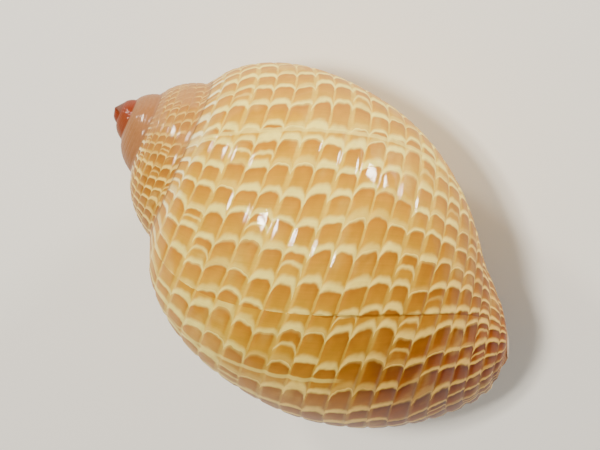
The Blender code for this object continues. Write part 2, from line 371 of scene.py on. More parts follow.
def pillar(top, top_angle, foot, foot_angle):
    """From each top point to its foot point: radius, height and angle mixed evenly, less a waist 4s(1-s)."""
    share = np.linspace(0.0, 1.0, PILLAR_STEPS + 1)
    top_r, foot_r = np.hypot(top[:, 0], top[:, 1]), np.hypot(foot[:, 0], foot[:, 1])
    r = top_r[:, None] * (1 - share) + foot_r[:, None] * share
    z = top[:, 2, None] * (1 - share) + foot[:, 2, None] * share
    waist = PILLAR_WAIST * smooth((foot[:, 2] - top[:, 2]) / WAIST_FULL_AT)
    r = r * (1.0 - 4.0 * waist[:, None] * share * (1 - share))
    angle = top_angle[:, None] * (1 - share) + foot_angle[:, None] * share
    grid = in_space(np.stack([r, z], axis=-1), angle)
    grid[:, 0] = top
    grid[:, -1] = foot
    return grid, angle


print("the pillar ends in mm", [round(end / MM, 1) for end in (PILLAR_FOOT[1], PILLAR_TIP)])

# %% [markdown]
# ## Putting the surfaces together
# The spire comes first, each turn down to the line where the next one covers it. Then come the last turn, the
# inside of the mouth, the rim of the lip and the pillar. Three kinds of face are told apart, for three
# finishes: the patterned outside, the cavity's wall, and the pale rim and pillar.

# %% The outside
COVERED_FROM = 0.305  # the station where the next turn covers this one
CORNER_FROM = 0.334  # and where the cavity's two walls meet under it
APEX_RISE = 0.6 * MM
BODY_ROWS = 250
SPIRE_ROWS_PER_TURN = 85  # a whole number of rows in TURNS - 1 turns
RIM_STEPS = 6

marks = rib_stations()
above = marks[marks < COVERED_FROM - STATION_STEP]
below = marks[marks > CORNER_FROM + STATION_STEP]
COLUMNS = np.concatenate([above, np.linspace(COVERED_FROM, CORNER_FROM, RIM_STEPS + 1), below])
COVERED_AT = len(above)
CORNER_AT = COVERED_AT + RIM_STEPS


def add_spire(shell):
    """The spire, each turn down to the covered edge, and its blunt apex. Returns its last edge's numbers."""
    first_row = LIP - TURNS * TURN
    rows = np.linspace(first_row, BODY_START, int(round((TURNS - 1.0) * SPIRE_ROWS_PER_TURN)) + 1)
    points, angle, station = outer(rows, COLUMNS[:COVERED_AT + 1])
    points[:, 0] = suture(rows)
    points[:, -1] = suture(rows + TURN)
    ids = shell.add(points, angle, station)
    shell.grid(ids[:, :-1], OUTSIDE)
    shell.grid(ids[:-SPIRE_ROWS_PER_TURN, -2:], OUTSIDE)
    apex_point = np.array([[0.0, 0.0, suture(first_row)[2] - APEX_RISE]])
    apex = shell.add(apex_point, np.array([first_row]), np.array([0.0]))[0]
    ring = np.concatenate([ids[:SPIRE_ROWS_PER_TURN, 0], ids[0, ::-1][:-1]])
    shell.fan(ring, apex, OUTSIDE)
    return ids[-SPIRE_ROWS_PER_TURN - 1:, -2]


def add_body(shell, spire_edge):
    """The last turn, from the spire to the lip, joined to the spire along its suture."""
    rows = np.linspace(BODY_START, LIP, BODY_ROWS + 1)
    points, angle, station = outer(rows, COLUMNS)
    points[:, 0] = suture(rows)
    points[0, COVERED_AT] = suture(LIP)
    ids = shell.add(points, angle, station)
    shell.grid(ids, OUTSIDE)
    # The strip above the suture belongs to the turn before, so its corners take that turn's numbers
    edge = shell.add(points[:, 0], rows - TURN, np.full(len(rows), COVERED_FROM))
    shell.zip(spire_edge, edge, OUTSIDE)
    return points, angle, ids


print("columns", len(COLUMNS), "of them above the next turn's suture", COVERED_AT)

# %% [markdown]
# ## The mouth
# Looking in, one sees the turn before on one side and the outer wall on the other, which meet in a corner.
# The snail lays the wall down from inside, so it is thinnest at the lip. Its edge is rounded, so a narrow
# strip with a bulge closes the gap between the outside's last row and the wall's.

# %% The mouth
CAVITY = math.radians(600.0)
CAVITY_ROWS = 140
RIM = 0.006  # how far the rounded rim reaches past the lip, as a turn angle
RIM_FADE = 0.05  # the station where the rim is fully round, past the suture


def add_mouth(shell, body, body_angle, body_ids):
    """Inside the mouth: the turn before, the cavity's outer wall, and the rounded rim of the lip.

    The rim mixes the outside edge and the inside edge evenly, and adds a sine's bulge along the growth.
    """
    rows = np.linspace(LIP - CAVITY, LIP, CAVITY_ROWS + 1)
    stations = np.concatenate([COLUMNS[CORNER_AT:-1:2], [1.0]])
    before, angle, station = outer(rows - TURN, stations, upright=True)
    before_ids = shell.add(before, angle, station)
    shell.grid(before_ids[:-1], OUTSIDE)
    shell.zip(before_ids[-2], body_ids[0, CORNER_AT:], OUTSIDE)

    wall, angle, station = inner(rows, np.concatenate([COLUMNS[2:-1:2], [1.0]]))
    corner = np.zeros((len(rows), 1))
    wall = np.concatenate([before[:, :1], wall], axis=1)
    wall_ids = shell.add(wall, np.hstack([angle[:, :1], angle]), np.hstack([corner, station]))
    shell.grid(wall_ids[:-1], INSIDE)

    edge, edge_angle, edge_station = inner(np.array([LIP]), COLUMNS)
    edge[0, 0] = before[-1, 0]
    edge_ids = shell.add(edge, edge_angle, edge_station)[0]
    shell.zip(wall_ids[-2], edge_ids, INSIDE)

    share = np.linspace(0.0, 1.0, RIM_STEPS + 1)[:, None]
    forward = outer(np.array([LIP]), COLUMNS)[0][0] - outer(np.array([LIP - RIM]), COLUMNS)[0][0]
    forward *= smooth(COLUMNS / RIM_FADE)[:, None]
    rim = body[-1][:, None] * (1 - share) + edge[0][:, None] * share
    rim += np.sin(math.pi * share) * forward[:, None]
    rim[0] = body[0, COVERED_AT:CORNER_AT + 1]
    rim_ids = shell.add(rim, body_angle[-1][:, None], COLUMNS[:, None])
    shell.grid(rim_ids, RIM_AND_PILLAR)
    return rows, before, wall, before_ids, wall_ids, rim[-1]


print("the cavity goes back by", round(CAVITY / TURN, 2), "turns")

# %% [markdown]
# ## The pillar's two parts and the far end
# The pillar's part inside the mouth ends at the cavity's wall. Its part outside ends in a slanted ring beside
# the notch, which a low dome closes, since the real one is solid there. The far end of the cavity is closed
# too, out of sight, so that the whole skin is one closed surface.

# %% The pillar and the far end
DOME_STEPS = 5
DOME_RISE = 0.5 * MM


def add_pillar(shell, body, body_angle, rows, before, wall, before_ids, wall_ids, rim_end):
    """The pillar inside the mouth and outside it, its domed tip, and the cavity's far end."""
    top, foot = before[:, -1], wall[:, -1]
    foot_angle = leaned(rows, np.ones_like(rows))
    within, angle = pillar(top, rows, foot, foot_angle)
    within_ids = shell.add(within, angle, 1.0)
    shell.grid(within_ids, RIM_AND_PILLAR)

    share = np.linspace(0.0, 1.0, BODY_ROWS + 1)
    away = np.sin(math.pi * share)
    start, end = foot[-1], body[-1, -1]
    foot_r = np.hypot(*start[:2]) * (1 - share) + np.hypot(*end[:2]) * share
    foot_r = foot_r * (1.0 - PILLAR_END_NARROW * away)
    foot_z = start[2] * (1 - share) + end[2] * share - PILLAR_END_SLANT * away
    around = leaned(LIP, 1.0) + TURN * (share - 1.0)
    ring = in_space(np.stack([foot_r, foot_z], axis=-1), around)
    without, angle = pillar(body[:, -1], body_angle[:, -1], ring, around)
    without[0] = within[-1]
    shell.grid(shell.add(without, angle, 1.0), OUTSIDE)

    tip = np.array([0.0, 0.0, PILLAR_TIP])
    loop = np.concatenate([ring, rim_end[1:-1]])
    inward = np.linspace(0.0, 1.0, DOME_STEPS + 1)[:-1, None, None]
    dome = loop * (1 - inward) + tip * inward
    dome[..., 2] += DOME_RISE * np.sin(0.5 * math.pi * inward[..., 0])
    dome = np.concatenate([dome, dome[:, :1]], axis=1)
    # Its station goes on from 1 at the edge to 2 at the middle
    dome_ids = shell.add(dome, 0.0, 1.0 + inward[..., 0])
    shell.grid(dome_ids, RIM_AND_PILLAR)
    tip_id = shell.add(tip[None] + np.array([[0.0, 0.0, DOME_RISE]]), 0.0, 2.0)[0]
    shell.fan(dome_ids[-1, :-1], tip_id, RIM_AND_PILLAR)

    shell.zip(np.concatenate([before_ids[0], within_ids[0, 1:]]), wall_ids[0], INSIDE)


def shell_patches():
    """Every patch of the shell, in the growth frame: axis along z, apex at the origin."""
    shell = Patches()
    spire_edge = add_spire(shell)
    body, body_angle, body_ids = add_body(shell, spire_edge)
    add_pillar(shell, body, body_angle, *add_mouth(shell, body, body_angle, body_ids))
    return shell


patches = shell_patches()
print("grid points", patches.count, "triangles", sum(len(faces) for faces in patches.faces))

# %% [markdown]
# ## Laying it down
# A real shell of this kind lies on the rim of its lip and its belly. The growth frame is turned about its
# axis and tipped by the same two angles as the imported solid, and its lowest points are worn flat on z = 0.

# %% The way it rests
REST_ROLL = math.radians(-106.6)
REST_TIP = math.radians(8.6)
FLAT_DEPTH = 0.85 * MM


def rest_turn():
    """The turn from the growth frame to the table, as a 3 by 3 matrix: roll, lay along +X, tip."""
    c, s = math.cos(REST_ROLL), math.sin(REST_ROLL)
    roll = np.array([[c, -s, 0.0], [s, c, 0.0], [0.0, 0.0, 1.0]])
    lay = np.array([[0.0, 0.0, 1.0], [0.0, 1.0, 0.0], [-1.0, 0.0, 0.0]])
    c, s = math.cos(REST_TIP), math.sin(REST_TIP)
    tip = np.array([[c, 0.0, s], [0.0, 1.0, 0.0], [-s, 0.0, c]])
    return tip @ lay @ roll


turned = np.concatenate(patches.points) @ rest_turn().T
low, high = turned.min(axis=0), turned.max(axis=0)
REST_SHIFT = -np.array([0.5 * (low[0] + high[0]), 0.5 * (low[1] + high[1]), low[2] + FLAT_DEPTH])
lying = turned + REST_SHIFT
lying[:, 2] = np.maximum(lying[:, 2], 0.0)
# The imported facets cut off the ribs' crests, so the fine shell is drawn in by a hair to stay inside their box
room = np.array(CAD_BOX[1]) - np.array(CAD_BOX[0])
draw_in = min(1.0, float((room / (lying.max(axis=0) - lying.min(axis=0))).min()))
lying *= draw_in
extent = (lying.max(axis=0) - lying.min(axis=0)) / MM
print("lying shell in mm", np.round(extent, 1), "scaled by", round(draw_in, 5))

# %% [markdown]
# ## Into a mesh
# The arrays go into a mesh with foreach_set, which is fast and exact. The texture numbers become a UV map,
# one pair for each corner. Then the seams are welded into one closed skin, with its faces pointing out.

# %% The shell's mesh
WELD = 0.001 * MM
CREASE = math.radians(50.0)


def mesh_from(name, points, triangles, corner_uv, kinds):
    """A mesh from arrays of points, triangles, a UV pair for each corner and a material for each face."""
    mesh = bpy.data.meshes.new(name)
    mesh.vertices.add(len(points))
    mesh.vertices.foreach_set("co", points.astype(np.float32).ravel())
    mesh.loops.add(triangles.size)
    mesh.loops.foreach_set("vertex_index", triangles.astype(np.int32).ravel())
    mesh.polygons.add(len(triangles))
    mesh.polygons.foreach_set("loop_start", np.arange(0, triangles.size, 3, dtype=np.int32))
    mesh.polygons.foreach_set("material_index", kinds.astype(np.int32))
    layer = mesh.uv_layers.new(name="growth")
    layer.data.foreach_set("uv", corner_uv.astype(np.float32).ravel())
    mesh.update()
    mesh.validate()
    return mesh


def weld(mesh):
    """Merges doubled points, drops empty faces and points the rest out. Returns how many edges are open."""
    work = bmesh.new()
    work.from_mesh(mesh)
    bmesh.ops.remove_doubles(work, verts=work.verts, dist=WELD)
    bmesh.ops.dissolve_degenerate(work, dist=WELD, edges=work.edges)
    bmesh.ops.recalc_face_normals(work, faces=work.faces)
    open_edges = sum(not edge.is_manifold for edge in work.edges)
    work.to_mesh(mesh)
    work.free()
    return open_edges


triangles = np.concatenate(patches.faces)
kinds = np.concatenate(patches.kinds)
uv = np.concatenate(patches.uv)[triangles]
shell_mesh = mesh_from("shell", lying, triangles, uv, kinds)
open_edges = weld(shell_mesh)
shell_mesh.shade_smooth()
shell_mesh.set_sharp_from_angle(angle=CREASE)
shell = bpy.data.objects.new("shell", shell_mesh)
bpy.context.scene.collection.objects.link(shell)
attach(shell, "root")
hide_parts("tun_shell")
print("points", len(shell_mesh.vertices), "faces", len(shell_mesh.polygons), "open edges", open_edges)

# %% [markdown]
# ## Words for wiring a material
# A pattern made of nodes is arithmetic on the texture numbers. Node by node it would fill pages, so a small
# class adds one node for each call and hands back its output. The calls then read like the formula.

# %% Wiring
def srgb(red, green, blue):
    """A colour as picked on a screen, 0 to 255, turned into the linear values that shaders work with."""
    c = np.array([red, green, blue]) / 255.0
    linear = np.where(c <= 0.04045, c / 12.92, ((c + 0.055) / 1.055) ** 2.4)
    return (*[float(value) for value in linear], 1.0)


class Wiring:
    """Adds nodes to a material, one for each call."""

    def __init__(self, material):
        self.tree = material.node_tree

    def node(self, kind, **settings):
        node = self.tree.nodes.new(kind)
        for name, value in settings.items():
            setattr(node, name, value)
        return node

    def feed(self, socket, value):
        """Links an output to a socket, or sets the socket to a plain value."""
        if isinstance(value, bpy.types.NodeSocket):
            self.tree.links.new(value, socket)
        else:
            socket.default_value = value

    def math(self, operation, *values):
        node = self.node("ShaderNodeMath", operation=operation)
        for socket, value in zip(node.inputs, values):
            self.feed(socket, value)
        return node.outputs[0]

    def add(self, *values):
        total = values[0]
        for value in values[1:]:
            total = self.math("ADD", total, value)
        return total

    def times(self, first, second):
        return self.math("MULTIPLY", first, second)

    def minus(self, first, second):
        return self.math("SUBTRACT", first, second)

    def step(self, value, low, high):
        """A smooth step from 0 at low to 1 at high, or a fall where low is the greater."""
        node = self.node("ShaderNodeMapRange", interpolation_type="SMOOTHSTEP")
        for name, given in (("Value", value), ("From Min", low), ("From Max", high)):
            self.feed(node.inputs[name], given)
        return node.outputs["Result"]

    def mix(self, share, first, second):
        """A colour between two colours."""
        node = self.node("ShaderNodeMix", data_type="RGBA")
        self.feed(node.inputs[0], share)
        self.feed(node.inputs[6], first)
        self.feed(node.inputs[7], second)
        return node.outputs[2]

    def vector(self, x, y, z):
        node = self.node("ShaderNodeCombineXYZ")
        for socket, value in zip(node.inputs, (x, y, z)):
            self.feed(socket, value)
        return node.outputs[0]

    def noise(self, first, second, grain, detail=1.0):
        """Smooth noise from -0.5 to 0.5. The grain is how fine it is along each number, and its layer."""
        along, across, layer = grain
        node = self.node("ShaderNodeTexNoise", noise_dimensions="3D")
        place = self.vector(self.times(first, along), self.times(second, across), layer)
        self.feed(node.inputs["Vector"], place)
        node.inputs["Scale"].default_value = 1.0
        node.inputs["Detail"].default_value = detail
        return self.minus(node.outputs[0], 0.5)

    def dice(self, x, y):
        """Three random numbers from 0 to 1 for each pair of whole numbers."""
        node = self.node("ShaderNodeTexWhiteNoise", noise_dimensions="3D")
        self.feed(node.inputs["Vector"], self.vector(x, y, 0.5))
        parts = self.node("ShaderNodeSeparateColor")
        self.feed(parts.inputs[0], node.outputs["Color"])
        return tuple(parts.outputs)

    def growth(self):
        """The turn and the station of the place that is shaded."""
        uv = self.node("ShaderNodeUVMap", uv_map="growth")
        parts = self.node("ShaderNodeSeparateXYZ")
        self.feed(parts.inputs[0], uv.outputs[0])
        return parts.outputs[0], parts.outputs[1]


COAT = {"Coat Weight": 0.2, "Coat IOR": 2.2}  # thin, yet it mirrors the lights clearly


def finished(name, values):
    """A new material, its wiring and its Principled shader, with the values that are the same all over."""
    material = bpy.data.materials.new(name)
    material.use_nodes = True
    shader = material.node_tree.nodes["Principled BSDF"]
    for socket, value in values.items():
        shader.inputs[socket].default_value = value
    return material, Wiring(material), shader


print("128 on a screen is", round(srgb(128, 128, 128)[0], 3), "in linear light")

# %% [markdown]
# ## The growth lines
# The snail lays down colour at its lip, so the pattern's rows follow old lips. The turn alone doesn't say
# when a place was made, because the lip leans. The turn less the lip's lead at that station is the same along
# one old lip. It is called the age here, in turns, and is 0 where growth stopped.

# %% Age
LEAD_SQUARE = 14.95 / 360.0
LEAD_STRAIGHT = 62.19 / 360.0


def age_of(w, turn, station):
    """turn - a(1 - station)^2 - b(1 - station)."""
    rest = w.minus(1.0, station)
    lead = w.add(w.times(w.times(rest, rest), LEAD_SQUARE), w.times(rest, LEAD_STRAIGHT))
    return w.minus(turn, lead)


print("the lip's lead at the suture, in turns", round(LEAD_SQUARE + LEAD_STRAIGHT, 3))

# %% [markdown]
# ## The pattern
# Each rib is a column of tan cells. A cell starts with a sharp dark edge under a white crescent, fades to a
# lighter tan and ends softly in the next crescent. The crescents line up into wavy rows, as the snail made
# them in one go. An image of this would smear over the spire. So the row's number is worked out from the age,
# bent by smooth noise, shifted for each rib and arched across it. Its whole part names the cell, for the dice,
# and its fraction is the place in the cell.

# %% Cells and crescents
ROWS_PER_TURN = 24.5
ROWS_CROWD = 5.0  # more rows to a turn on older whorls
MIDDLE_ROWS = (-0.47, -0.26, 1.1)  # between these ages are more rows, by this many
WAVE = 1.1  # how far the rows wander, in rows
RIB_SHIFT = 0.8  # how far neighbouring ribs part
ROUGH = 0.15  # how ragged the crescents' edges are, in rows
ARCH = 0.26  # how far the corners of a cell are rounded, in rows
ARCH_UNEVEN = 3.0
CRESCENT = (0.04, 0.15)  # its least thickness and the dice's addition
CRESCENT_SOFT = 0.19
CRESCENT_FULL = 0.3  # the share of it in which it gets fully pale
CRESCENT_THINS = 0.5  # how fast it thins with the station
THINS_FROM = 0.3
SHARP_EDGE = 0.13
FAINT = 0.28  # how pale a faint crescent is
FEW_FAINT = (0.0, 0.45)  # the dice for a faint and for a full one
HAZE = (0.04, 0.26, 0.3)  # the noise between which ribs get washed out, and how far
GROOVE_PALE = (0.06, 0.08)  # a groove's pale half width, in ribs, and what a broad one adds
GROOVE_EDGE = (0.5, 1.35)  # where it fades, in half widths
GROOVE_RAGGED = 0.09  # how ragged the grooves are, in ribs
BROAD = (0.5, 0.8)  # the dice from and to which a groove is broad
NO_ROW = 77.0  # no row has it, so grooves have their own dice
DOUBLED = (0.14, 0.06)  # the dice under which a cell has a second, smaller crescent
SECOND = (0.45, 0.13, 0.8)  # its place in the cell, its half width and how pale it is
BREAKS = ((-0.475, 0.45), (-0.285, 0.4))  # rests in growth: age, and how far the rows jump there
# Each noise's grain: how fine it is along the age, how fine along the station or the ribs, and its layer
WAVE_NOISE, SHIFT_NOISE, HAZE_NOISE = (9.0, 7.0, 3.0), (13.0, 5.3, 8.0), (16.0, 11.0, 70.0)
ROUGH_NOISE, GROOVE_NOISE, ARCH_NOISE = (90.0, 55.0, 41.0), (90.0, 60.0, 0.0), (25.0, 3.7, 5.0)


def crescents(w, age, station):
    """How pale a place is as part of a crescent, its place in the cell, and how pale as part of a groove.

    The row is the age times the rows of a turn, plus noise, less an arch of across^4. The dice for its whole
    part and the rib say how much of its fraction's end is crescent.
    """
    ragged = w.times(w.noise(age, station, GROOVE_NOISE), GROOVE_RAGGED)
    place = w.add(w.times(w.minus(station, FIRST_GROOVE), RIBS), ragged)
    rib = w.math("FLOOR", place)
    across = w.minus(w.times(w.math("FRACT", place), 2.0), 1.0)
    square = w.times(across, across)
    uneven = w.add(1.0, w.times(w.noise(age, rib, ARCH_NOISE), ARCH_UNEVEN))
    arch = w.times(w.times(w.times(square, square), ARCH), uneven)

    rows = w.minus(w.times(age, ROWS_PER_TURN), w.times(w.times(age, age), ROWS_CROWD))
    rows = w.add(rows, w.times(w.step(age, *MIDDLE_ROWS[:2]), MIDDLE_ROWS[2]))
    for rest, jump in BREAKS:
        rows = w.add(rows, w.times(w.math("GREATER_THAN", age, rest), jump))
    wave = w.times(w.noise(age, station, WAVE_NOISE), WAVE)
    shift = w.times(w.noise(age, rib, SHIFT_NOISE), RIB_SHIFT)
    rough = w.times(w.noise(age, station, ROUGH_NOISE), ROUGH)
    row = w.minus(w.add(rows, wave, shift, rough), arch)
    number = w.math("FLOOR", row)
    along = w.math("FRACT", row)

    thick, faint, doubled = w.dice(rib, number)
    thin = w.minus(1.0 + THINS_FROM * CRESCENT_THINS, w.times(station, CRESCENT_THINS))
    reach = w.times(w.add(CRESCENT[0], w.times(thick, CRESCENT[1])), thin)
    begin = w.minus(1.0, reach)
    pale = w.step(along, w.minus(begin, CRESCENT_SOFT), w.add(begin, w.times(reach, CRESCENT_FULL)))
    pale = w.math("MAXIMUM", pale, w.step(along, SHARP_EDGE, 0.0))
    pale = w.times(pale, w.add(FAINT, w.times(w.step(faint, *FEW_FAINT), 1.0 - FAINT)))
    second = w.step(w.math("ABSOLUTE", w.minus(along, SECOND[0])), SECOND[1], 0.0)
    second = w.times(w.times(second, SECOND[2]), w.step(doubled, *DOUBLED))
    pale = w.math("MAXIMUM", pale, second)

    haze = w.noise(age, station, HAZE_NOISE, 3.0)
    pale = w.add(pale, w.times(w.step(haze, *HAZE[:2]), HAZE[2]))

    groove = w.math("ROUND", place)
    wide, _, _ = w.dice(groove, NO_ROW)
    half = w.add(GROOVE_PALE[0], w.times(w.step(wide, *BROAD), GROOVE_PALE[1]))
    away = w.math("ABSOLUTE", w.minus(place, groove))
    furrow = w.step(away, w.times(half, GROOVE_EDGE[1]), w.times(half, GROOVE_EDGE[0]))
    return pale, along, furrow


print("rows of cells on the last turn", ROWS_PER_TURN + ROWS_CROWD + MIDDLE_ROWS[2])

# %% [markdown]
# ## The outside's colours
# The photograph's shell is golden in its middle and reddish brown towards the front end and the lip. So there
# are two palettes, and a share that grows with the station and the age. That brown is partly the shell's own
# colour and partly painted shade, darker where the front end and the lip turn away from the light. The worn
# spire is tan and its tip orange. Over the belly beside the mouth lies a thin milky glaze.

# %% Palettes
GOLD = {"dark": srgb(180, 114, 6), "mid": srgb(196, 136, 8), "light": srgb(210, 160, 20),
        "crescent": srgb(252, 230, 112), "groove": srgb(228, 186, 52)}
# The brown palette is partly painted shade, darker than the shell's own colour alone. Its groove is painted
# shade too, darker than the gold's pale grooves, as the grooves between the strong front ribs lie in shade.
BROWN_AND_SHADE = {"dark": srgb(82, 26, 0), "mid": srgb(122, 52, 0), "light": srgb(152, 80, 6),
         "crescent": srgb(240, 190, 84), "groove": srgb(146, 88, 22)}
SHOULDER_WHITE = srgb(255, 242, 186)
WORN = srgb(172, 120, 62)
WORN_BEFORE = (-1.13, -1.27)  # the turns between which the wear sets in
WORN_SHARE = (0.5, 0.42)  # how far the pattern is worn away, and what a bare patch adds
PATCHES = (-0.04, 0.1)  # the noise between which a place gets bare
# The spire's tones, and the turns between which each sets in
OLD_TONES = ((srgb(150, 100, 58), (-1.6, -1.95)), (srgb(138, 78, 42), (-2.4, -3.0)),
             (srgb(124, 46, 12), (-2.95, -3.3)))
# Painted shade: a thin dark line in the crease of the suture
SUTURE_SHADE = srgb(92, 46, 20)
FASCIOLE = srgb(150, 88, 34)  # the band round the pillar's foot
GLAZE = srgb(240, 222, 180)
LIP_CREAM = srgb(248, 230, 180)
DARK_TO_MID, MID_TO_LIGHT = (0.0, 0.42), (0.35, 0.95)  # places in the cell where colours change
GROOVE_SHARE = 0.85


def cell_colour(w, palette, along, pale, furrow):
    """Dark to mid to light along the cell, then the groove and the crescent over it."""
    colour = w.mix(w.step(along, *DARK_TO_MID), palette["dark"], palette["mid"])
    colour = w.mix(w.step(along, *MID_TO_LIGHT), colour, palette["light"])
    # In the brown palette this groove colour is painted shade in the grooves
    colour = w.mix(w.times(furrow, GROOVE_SHARE), colour, palette["groove"])
    return w.mix(pale, colour, palette["crescent"])


print("colours in each palette", sorted(GOLD))

# %% [markdown]
# ## Rests in growth
# When the snail stops growing for a while, the old lip stays as a line across the ribs. Some are pale and
# stand up, one is a thin dark crack. They are lines of one age, between two stations.

# %% Lines of one age
RAISED_LINES = ((-0.475, 0.08, 0.72), (-0.208, 0.18, 0.48))  # age, and the stations from and to
CRACK = (-0.285, 0.44, 0.82)
LINE_HALF_WIDTH = 0.0016  # in turns
CRACK_HALF_WIDTH = 0.0008
LINE_NOISE = (40.0, 1.0, 31.0)
LINE_UNEVEN = 0.004
LINE_SOFT = 2.5  # where a line ends, in half widths
LINE_ENDS = 0.05  # how softly it ends, in stations


def rest_line(w, age, station, line, half_width):
    """1 on the line, 0 beside it: a soft bell in age, cut to the line's stations, a little uneven."""
    at, low, high = line
    uneven = w.times(w.noise(station, at, LINE_NOISE), LINE_UNEVEN)
    away = w.math("ABSOLUTE", w.add(w.minus(age, at), uneven))
    on = w.step(away, LINE_SOFT * half_width, half_width)
    within = w.minus(w.step(station, low - LINE_ENDS, low), w.step(station, high, high + LINE_ENDS))
    return w.times(on, within)


print("rest lines at the ages", [line[0] for line in (*RAISED_LINES, CRACK)])

# %% [markdown]
# ## The spire's wear
# The oldest turns have been rubbed for longest. Their pattern goes in patches first, then all over, and the
# layers below show. The turn number says how old a place is, and noise makes the wear blotchy.

# %% Old whorls
BLOTCH_NOISE, PATCH_NOISE = (7.0, 9.0, 12.0), (11.0, 8.0, 27.0)
BLOTCH_WEAR, BLOTCH_TONE = 0.15, 0.2  # how far the blotches shift the wear and the tones, in turns


def aged_tone(w, turn, station, colour):
    """The spire's wear: the pattern fades on the whorl before the last, and is gone on the older ones."""
    blotch = w.noise(turn, station, BLOTCH_NOISE)
    patch = w.step(w.noise(turn, station, PATCH_NOISE), *PATCHES)
    worn = w.step(w.add(turn, w.times(blotch, BLOTCH_WEAR)), *WORN_BEFORE)
    share = w.times(worn, w.add(WORN_SHARE[0], w.times(patch, WORN_SHARE[1])))
    colour = w.mix(share, colour, WORN)
    turn = w.add(turn, w.times(blotch, BLOTCH_TONE))
    for tone, fade in OLD_TONES:
        colour = w.mix(w.step(turn, *fade), colour, tone)
    return colour


print("tones on the spire", len(OLD_TONES))

# %% [markdown]
# ## The outside's finish
# A real tun has its colours under a thin clear gloss. So they are laid over each other from the cells up, and
# the shader's coat stands for the gloss. The finest growth lines are too small for the mesh, so they are a
# weak bump and a slight change of shade.

# %% The outside's finish
CLOUD_NOISE, MOTTLE_NOISE, STRIAE_NOISE = (8.0, 6.0, 20.0), (60.0, 40.0, 55.0), (520.0, 9.0, 5.0)
# The brown that comes in towards the front end and the lip is partly the shell's own colour, partly painted
# shade
FRONT_BROWN_AND_SHADE = (0.4, 1.35)  # the station where the brown sets in, and how fast it comes
LIP_BROWN_AND_SHADE = (-0.36, 2.0)  # the same for the age
CLOUD = 0.5
ALL_BROWN_AND_SHADE = (-0.1, 0.95)  # the sum of the three where gold ends, and where brown is full
OLD_BROWN = 0.5  # how brown the cells on older whorls are
LAST_WHORL = (-0.85, -0.95)  # the turns between which that stops
SHOULDER = (0.07, 0.03)  # the stations between which it ends
FASCIOLE_FROM = (0.965, 0.995)
LAID_OVER = 0.8  # how well the shoulder, the fasciole and the glaze cover
GLAZE_REACH = (0.07, -0.02)  # how far it goes beyond the old lip, in turns
GLAZE_FADE = 0.06
LIP_EDGE = (-0.012, -0.002)  # the ages between which the lip gets pale
# The stations over which the painted shade in the suture's crease fades out
SUTURE_SHADE_EDGE = (0.009, 0.002)
LINE_SHARE, CRACK_SHARE, SUTURE_SHADE_SHARE = 0.6, 0.5, 0.6
STRIAE_SHADE, MOTTLE_SHADE = 0.22, 0.45
LINE_RISE, CRACK_DEPTH = 1.5, 2.0  # against the growth lines' own height
BUMP, BUMP_DISTANCE = 0.1, 0.2 * MM


